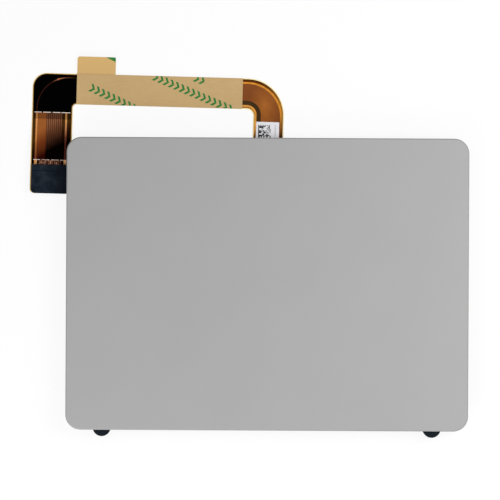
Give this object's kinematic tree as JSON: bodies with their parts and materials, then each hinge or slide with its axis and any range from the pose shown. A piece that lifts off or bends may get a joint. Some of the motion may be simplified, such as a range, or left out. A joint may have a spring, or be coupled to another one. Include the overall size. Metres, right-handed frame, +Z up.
{
  "type": "touchpad module",
  "caption": "Notebook touchpad: grey touch glass on a hinged steel frame with a click switch below, and a flat flex cable that leaves at the rear and ends in a board plug.",
  "frame": {"origin": "middle of the footprint of the pad (glass and bumpers) on the surface it lies on", "axes": "+X to the right along the long side of the glass, +Y to the rear edge where the cable leaves, +Z up out of the glass"},
  "size_m": [0.1143, 0.0987, 0.0044],
  "materials": {
    "bar_steel": "cold-rolled, fine grain",
    "standoff_steel": "nickel plated, turned",
    "rivet_steel": "satin",
    "spring_steel": "bright rolled strip",
    "grey_glass": "etched matt, grey print behind",
    "clear_adhesive": "acrylic adhesive film",
    "board_laminate": "black solder mask",
    "frame_steel": "stamped, fine grain",
    "chip_resin": "moulded epoxy",
    "chip_ceramic": "fired ceramic with tin ends",
    "cover_steel": "satin",
    "socket_plastic": "moulded",
    "contact_gold": "gold flashed",
    "latch_plastic": "moulded",
    "black_plastic": "moulded",
    "plunger_plastic": "moulded",
    "bush_brass": "turned",
    "screw_steel": "black oxide",
    "bumper_rubber": "soft matt",
    "gasket_fabric": "metallised weave over foam",
    "flex_film": "amber film over copper traces",
    "stiffener_amber": "amber film",
    "stiffener_navy": "dark laminate",
    "liner_paper": "siliconed kraft paper",
    "label_paper": "coated label"
  },
  "bodies": {
    "mount": {"mount_bar": "bar_steel", "mount_standoffs": "standoff_steel", "bar_rivets": "rivet_steel", "hinge_leaf_left": "spring_steel", "hinge_leaf_right": "spring_steel"},
    "pad": {"touch_glass": "grey_glass", "glass_bond": "clear_adhesive", "sensor_board": "board_laminate", "frame_bond": "clear_adhesive", "support_frame": "frame_steel", "frame_rivets": "rivet_steel", "touch_controller": "chip_resin", "memory_chip": "chip_resin", "regulator_chip": "chip_resin", "clock_crystal": "cover_steel", "chip_passives": "chip_ceramic", "cable_socket": "socket_plastic", "socket_contacts": "contact_gold", "switch_base": "black_plastic", "switch_cover": "cover_steel", "switch_dome": "spring_steel", "lever_rivets": "rivet_steel", "bumper_left": "bumper_rubber", "bumper_right": "bumper_rubber", "ground_gaskets": "gasket_fabric", "flex_cable": "flex_film", "tip_stiffener": "stiffener_amber", "plug_stiffener": "stiffener_navy", "cable_plug": "black_plastic", "plug_contacts": "contact_gold", "adhesive_tape": "clear_adhesive", "release_liner": "liner_paper", "cable_label": "label_paper"},
    "latch": {"socket_latch": "latch_plastic"},
    "lever": {"click_lever": "spring_steel", "screw_bush": "bush_brass"},
    "screw": {"click_screw": "screw_steel"},
    "plunger": {"switch_plunger": "plunger_plastic"}
  },
  "joints": [
    {"name": "pad_click", "type": "hinge", "parent": "mount", "child": "pad", "pos_m": [0, 0.02985, 0.00193], "axis": [1, 0, 0], "range_deg": [0, 0.6], "stiffness_Nm_per_rad": 2, "springref_deg": -0.72, "deforming": ["hinge_leaf_left", "hinge_leaf_right"]},
    {"name": "latch_flip", "type": "hinge", "parent": "pad", "child": "latch", "pos_m": [-0.00045, 0.0172, 0.00175], "axis": [1, 0, 0], "range_deg": [0, 90]},
    {"name": "lever_press", "type": "hinge", "parent": "pad", "child": "lever", "pos_m": [0, -0.01685, 0.0019], "axis": [-1, 0, 0], "range_deg": [0, 1.19], "stiffness_Nm_per_rad": 1.1, "deforming": ["click_lever"]},
    {"name": "screw_turn", "type": "hinge", "parent": "lever", "child": "screw", "pos_m": [0, -0.02885, 0.0008], "axis": [0, 0, 1], "range_deg": [-180, 180]},
    {"name": "plunger_press", "type": "slide", "parent": "pad", "child": "plunger", "axis": [0, 0, 1], "range_m": [0, 0.00025], "deforming": ["switch_dome"]}
  ],
  "couplings": [
    {"joint": "plunger_press", "follows": "lever_press", "m_per_rad": 0.012}
  ]
}
